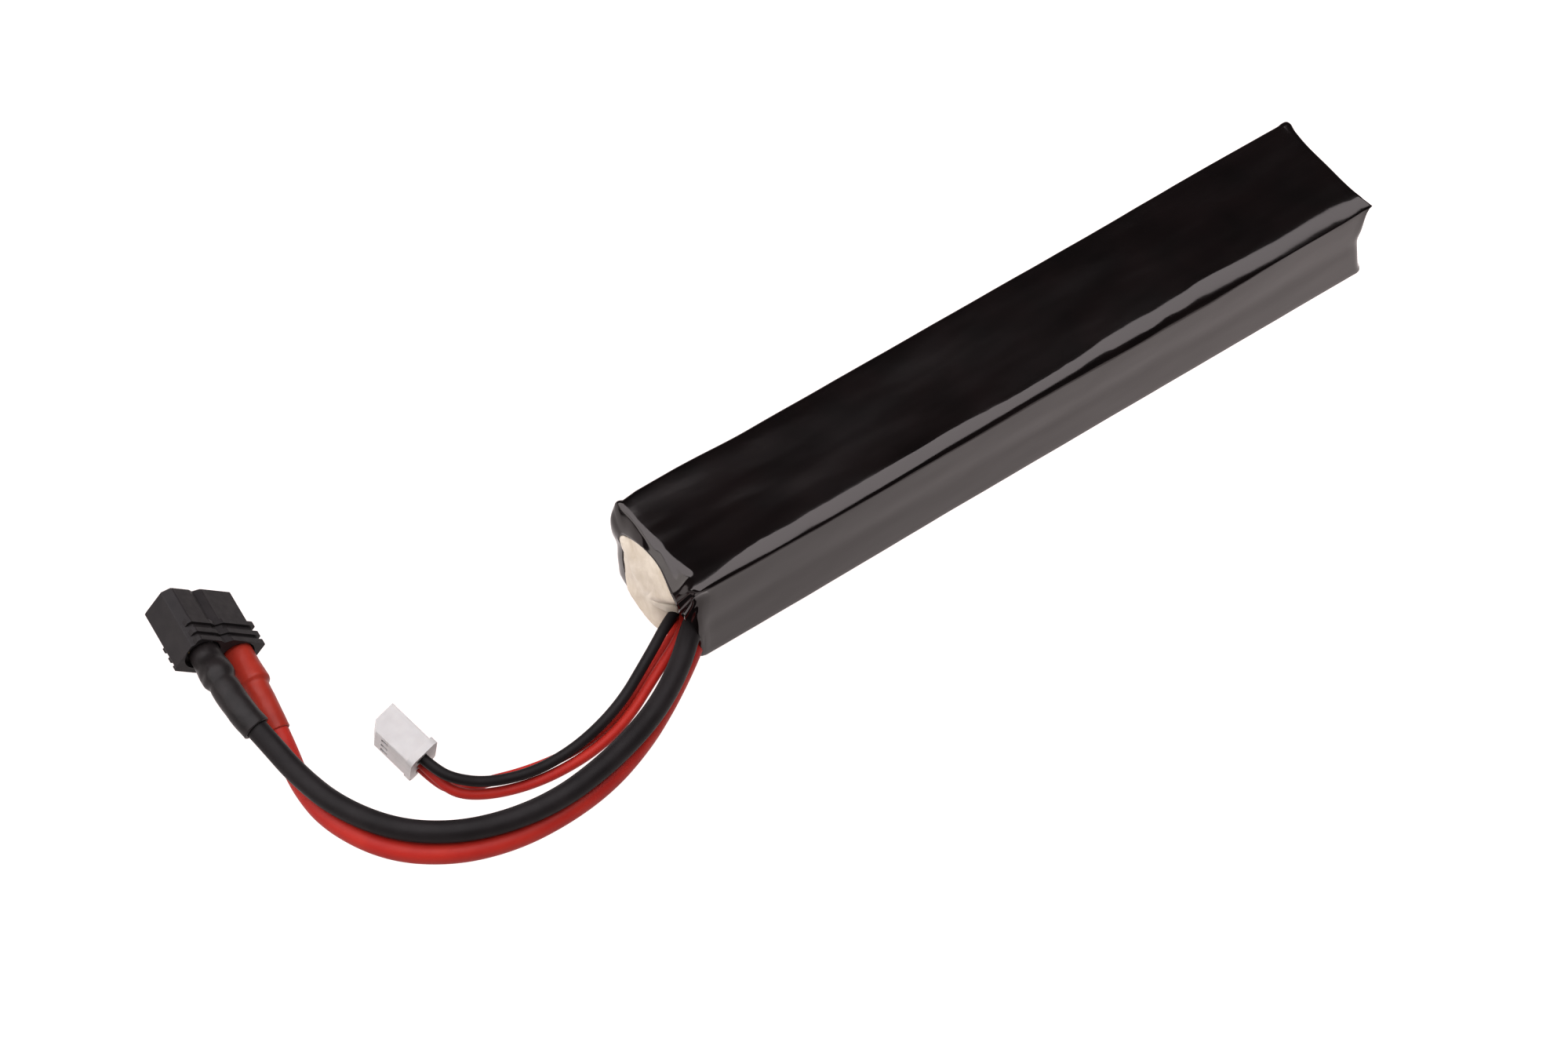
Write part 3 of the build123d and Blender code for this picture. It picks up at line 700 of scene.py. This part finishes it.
def swept_rings(points, radius_at, sides, up):
    """Rings of a tube along points; radius_at gives the radius at a share of its length."""
    rings = []
    side = None
    for i, point in enumerate(points):
        ahead = (points[min(i + 1, len(points) - 1)] - points[max(i - 1, 0)]).normalized()
        side = (up if side is None else side) - ahead * ahead.dot(up if side is None else side)
        side.normalize()
        other = ahead.cross(side)
        ring = []
        for j in range(sides):
            turn = 2 * pi * j / sides
            radius = radius_at(i / (len(points) - 1), turn)
            ring.append(point + (side * cos(turn) + other * sin(turn)) * radius)
        rings.append(ring)
    return rings


def sleeve_piece(node, seat, route, length, form, slot, seed):
    """Heat-shrink tube with its wall showing at the end on the lead."""
    points = sleeve_line(seat, route, length)
    up = Vector(seat.col[2][:3])

    def outer(share, turn):
        crumple = 0.07 * wave(share * 9 + seed, cos(turn) * 1.3, sin(turn) * 1.3 + seed)
        return form(share, turn) + crumple

    skin = swept_rings(points, outer, SLEEVE_SIDES, up)
    bore_points = list(reversed(points))[:len(points) // 3]

    def bore(share, turn):
        return MAIN_WIRE / 2 + 0.06

    inside = swept_rings(bore_points, bore, SLEEVE_SIDES, up)
    rounded = [p.lerp(points[-1], 0.06) for p in skin[-1]]
    skin = skin[:-1] + [rounded_ring(skin[-1], points[-1], points[-2], 0.12), rounded]
    aligned = [match_ring(skin[-1], ring) for ring in inside]
    every = skin + aligned
    first = len(every) * SLEEVE_SIDES
    faces = ring_faces(len(every), SLEEVE_SIDES)
    vertices = [p for ring in every for p in ring] + [points[0], bore_points[-1]]
    for j in range(SLEEVE_SIDES):
        k = (j + 1) % SLEEVE_SIDES
        faces.append((first, k, j))
        last = (len(every) - 1) * SLEEVE_SIDES
        faces.append((first + 1, last + j, last + k))
    piece = mesh_piece(node + "_tube", vertices, faces, slot)
    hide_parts(node)
    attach(piece, BODY)
    return piece


def rounded_ring(ring, centre, before, back):
    """The ring drawn back a little along the tube."""
    shift = (before - centre).normalized() * back
    return [p + shift for p in ring]


def match_ring(model, ring):
    """The ring's points, started and ordered so that they face those of the model ring."""
    count = len(ring)
    best = None
    for order in (ring, list(reversed(ring))):
        for start in range(count):
            gap = sum((order[(start + j) % count] - model[j]).length for j in range(0, count, 10))
            if best is None or gap < best[0]:
                best = (gap, [order[(start + j) % count] for j in range(count)])
    return best[1]


def black_form(share, turn):
    """Wide over the solder tab, pinched to a waist, then snug on the lead."""
    wide = 2.45 + 0.25 * smooth(share, 0.15, 0.3) - 0.4 * smooth(share, 0.34, 0.46)
    waist = -0.12 * exp(-((share - 0.43) / 0.04) ** 2)
    crease = -0.22 * exp(-((share - 0.33) / 0.05) ** 2 - ((turn - 1.9) / 0.5) ** 2)
    return wide + waist + crease


def red_form(share, turn):
    """Faceted where it was pinched beside the solder, with a step down to the lead."""
    wide = 2.5 + 0.12 * smooth(share, 0.2, 0.36) - 0.6 * smooth(share, 0.42, 0.47)
    facets = -0.2 * (1 - smooth(share, 0.3, 0.5)) * (1 - abs(cos(1.5 * turn + 0.4)))
    return wide + facets


black_sleeve = sleeve_piece("plug_sleeve_negative", NEGATIVE_SEAT, MAIN_NEGATIVE_ROUTE, 16.7,
                            black_form, "shrink_black", 1.7)
red_sleeve = sleeve_piece("plug_sleeve_positive", POSITIVE_SEAT, MAIN_POSITIVE_ROUTE, 15.2,
                          red_form, "shrink_red", 8.2)

lead("main_lead_negative", MAIN_NEGATIVE_ROUTE, MAIN_WIRE, "silicone_black")
lead("main_lead_positive", MAIN_POSITIVE_ROUTE, MAIN_WIRE, "silicone_red")
lead("balance_lead_negative", BALANCE_NEGATIVE_ROUTE, BALANCE_WIRE,
     "silicone_black")
lead("balance_lead_middle", BALANCE_MIDDLE_ROUTE, BALANCE_WIRE,
     "silicone_red")
lead("balance_lead_positive", BALANCE_POSITIVE_ROUTE, BALANCE_WIRE,
     "silicone_red")

# ------------------------------------------------------------------ end pad
PAD_EDGE_PLACES = 160
PAD_RINGS = 26
PAD_CREST = Vector((-66.2, 0.2, 6.4))


def pad_piece():
    """Crinkled pad: a crowned face that fills the film's mouth, and a plain back."""
    rim = []
    for j in range(PAD_EDGE_PLACES):
        place = ROUND * j / PAD_EDGE_PLACES
        edge = Vector(around(NEAR_LIP, place)[3:])
        over_film = smooth(place, 34.0, 38.0) * (1 - smooth(place, 43.0, 50.0))
        tip = exp(-((place - 35.5) / 2.2) ** 2)
        edge += Vector((0.15 - 0.55 * over_film, 0.45 * over_film - 1.3 * tip, -0.25 * over_film))
        over_wires = smooth(place, 7.5, 10.0) * (1 - smooth(place, 33.0, 36.0))
        edge = edge.lerp(Vector((-63.8, -3.0, 6.5)), 0.75 * over_wires)
        rim.append(edge)
    rings = []
    for i in range(PAD_RINGS):
        t = (i + 1) / PAD_RINGS
        ring = []
        for edge in rim:
            point = PAD_CREST.lerp(edge, t)
            crown = PAD_CREST.x + (edge.x - PAD_CREST.x) * t ** 2.4
            crease = 0.22 * wave(point.y / 2.3, point.z / 3.1, 4.0)
            fold = 0.16 * abs(wave(point.y / 1.3 + point.z / 5, point.z / 2.6, 9.0))
            point.x = crown + (crease - fold) * (1 - 0.6 * t)
            point.z = max(point.z, 0.25)
            ring.append(point)
        rings.append(ring)
    back_depth = NEAR_X + 1.6
    rings.append([Vector((back_depth, p.y * 0.97, max(p.z * 0.97, 0.35))) for p in rings[-1]])
    vertices = [p for ring in rings for p in ring]
    faces = [tuple(reversed(f)) for f in ring_faces(len(rings), PAD_EDGE_PLACES)]
    centre, behind = len(vertices), len(vertices) + 1
    vertices += [PAD_CREST, Vector((back_depth, 1.0, 6.5))]
    last = (len(rings) - 1) * PAD_EDGE_PLACES
    for j in range(PAD_EDGE_PLACES):
        k = (j + 1) % PAD_EDGE_PLACES
        faces.append((centre, j, k))
        faces.append((behind, last + k, last + j))
    piece = mesh_piece("crinkled_end_pad", vertices, faces, "insulating_pad")
    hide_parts("end_insulator_pad")
    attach(piece, BODY)
    return piece


pad_piece()

# ------------------------------------------------------------------ CAD nodes that stay
slot_of = {row["node"]: row["material_slot"] for row in frame["record"]["subparts"]}
for name, node in frame["nodes"].items():
    if not node.hide_render:
        paint(node, slot_of[name])

# ------------------------------------------------------------------ floor, light and camera
CAMERA_TARGET = Vector((-0.03834, 0.00275, 0.0))
CAMERA_DISTANCE = 0.85107
CAMERA_AZIMUTH = -35.17
CAMERA_ELEVATION = 54.06
CAMERA_ROLL = -0.35
CAMERA_LENS = 125.0


def camera():
    data = bpy.data.cameras.new("camera")
    data.lens = CAMERA_LENS
    data.sensor_width = 36.0
    data.clip_start = 0.01
    holder = bpy.data.objects.new("camera", data)
    bpy.context.scene.collection.objects.link(holder)
    azimuth, elevation = radians(CAMERA_AZIMUTH), radians(CAMERA_ELEVATION)
    back = Vector((sin(azimuth) * cos(elevation), -cos(azimuth) * cos(elevation), sin(elevation)))
    roll = Matrix.Rotation(radians(CAMERA_ROLL), 4, "Z")
    turn = back.to_track_quat("Z", "Y").to_matrix().to_4x4() @ roll
    holder.matrix_world = Matrix.Translation(CAMERA_TARGET + back * CAMERA_DISTANCE) @ turn
    bpy.context.scene.camera = holder


def floor():
    """Pale table that glows: nearly all its white is its own painted light, so shadows stay faint."""
    size = 3.0
    mesh = bpy.data.meshes.new("floor")
    mesh.from_pydata([(-size, -size, 0), (size, -size, 0), (size, size, 0), (-size, size, 0)], [],
                     [(0, 1, 2, 3)])
    plane = bpy.data.objects.new("floor", mesh)
    bpy.context.scene.collection.objects.link(plane)
    material = bpy.data.materials.new("floor")
    material.use_nodes = True
    shader = material.node_tree.nodes["Principled BSDF"]
    shader.inputs["Base Color"].default_value = (0.05, 0.05, 0.05, 1)
    shader.inputs["Roughness"].default_value = 0.8
    shader.inputs["Emission Strength"].default_value = 1.0
    nodes, links = material.node_tree.nodes, material.node_tree.links
    split = nodes.new("ShaderNodeSeparateXYZ")
    links.new(nodes.new("ShaderNodeTexCoord").outputs["Object"], split.inputs["Vector"])
    along = nodes.new("ShaderNodeMapRange")
    links.new(split.outputs["X"], along.inputs["Value"])
    along.inputs["From Min"].default_value = NEAR_X * MM
    along.inputs["From Max"].default_value = FAR_X * MM
    # Painted light: the floor's glow grows from the near end to the far end, which brightens the film
    # side's reflection towards the far end.
    glow = nodes.new("ShaderNodeValToRGB")
    links.new(along.outputs["Result"], glow.inputs["Fac"])
    ends = glow.color_ramp.elements
    ends[0].position = 0.1
    ends[1].position = 0.95
    ends[0].color = (1.11, 1.0, 0.985, 1)
    ends[1].color = (1.46, 1.3, 1.28, 1)
    links.new(glow.outputs["Color"], shader.inputs["Emission Color"])
    mesh.materials.append(material)


def softbox(name, matrix, width, depth, radiance, colour):
    """Rectangular light that shines along its own -Z."""
    data = bpy.data.lights.new(name, "AREA")
    data.shape = "RECTANGLE"
    data.size = width
    data.size_y = depth
    data.energy = radiance * pi * width * depth
    data.color = colour
    holder = bpy.data.objects.new(name, data)
    bpy.context.scene.collection.objects.link(holder)
    holder.matrix_world = matrix


def overhead_softbox():
    """Ceiling panel whose far edge ends just short of what the pack's flat top mirrors."""
    height = 1.3
    right_end, left_end = 0.85, -2.1
    far_end, near_end = 0.62 * height, -1.1
    across = Vector((cos(radians(CAMERA_AZIMUTH)), sin(radians(CAMERA_AZIMUTH)), 0))
    away = Vector((-sin(radians(CAMERA_AZIMUTH)), cos(radians(CAMERA_AZIMUTH)), 0))
    place = across * (right_end + left_end) / 2 + away * (far_end + near_end) / 2
    place.z = height
    turn = Matrix.Rotation(radians(CAMERA_AZIMUTH), 4, "Z")
    softbox("overhead", Matrix.Translation(place) @ turn, right_end - left_end,
            far_end - near_end, 4.7, (1.0, 0.97, 1.0))


def side_softbox():
    """Low panel beyond the wires' end, which lights the faces that look that way."""
    place = Vector((-2.3, 0.9, 0.95))
    turn = place.to_track_quat("Z", "Y").to_matrix().to_4x4()
    softbox("side", Matrix.Translation(place) @ turn, 2.2, 0.9, 4.0, (1.0, 0.97, 0.95))


camera()
floor()
overhead_softbox()
side_softbox()
scene = bpy.context.scene
scene.view_settings.view_transform = "Standard"
scene.world = bpy.data.worlds.new("room")
scene.world.use_nodes = True
room = scene.world.node_tree.nodes["Background"]
room.inputs["Color"].default_value = (0.05, 0.048, 0.05, 1)
room.inputs["Strength"].default_value = 1.0
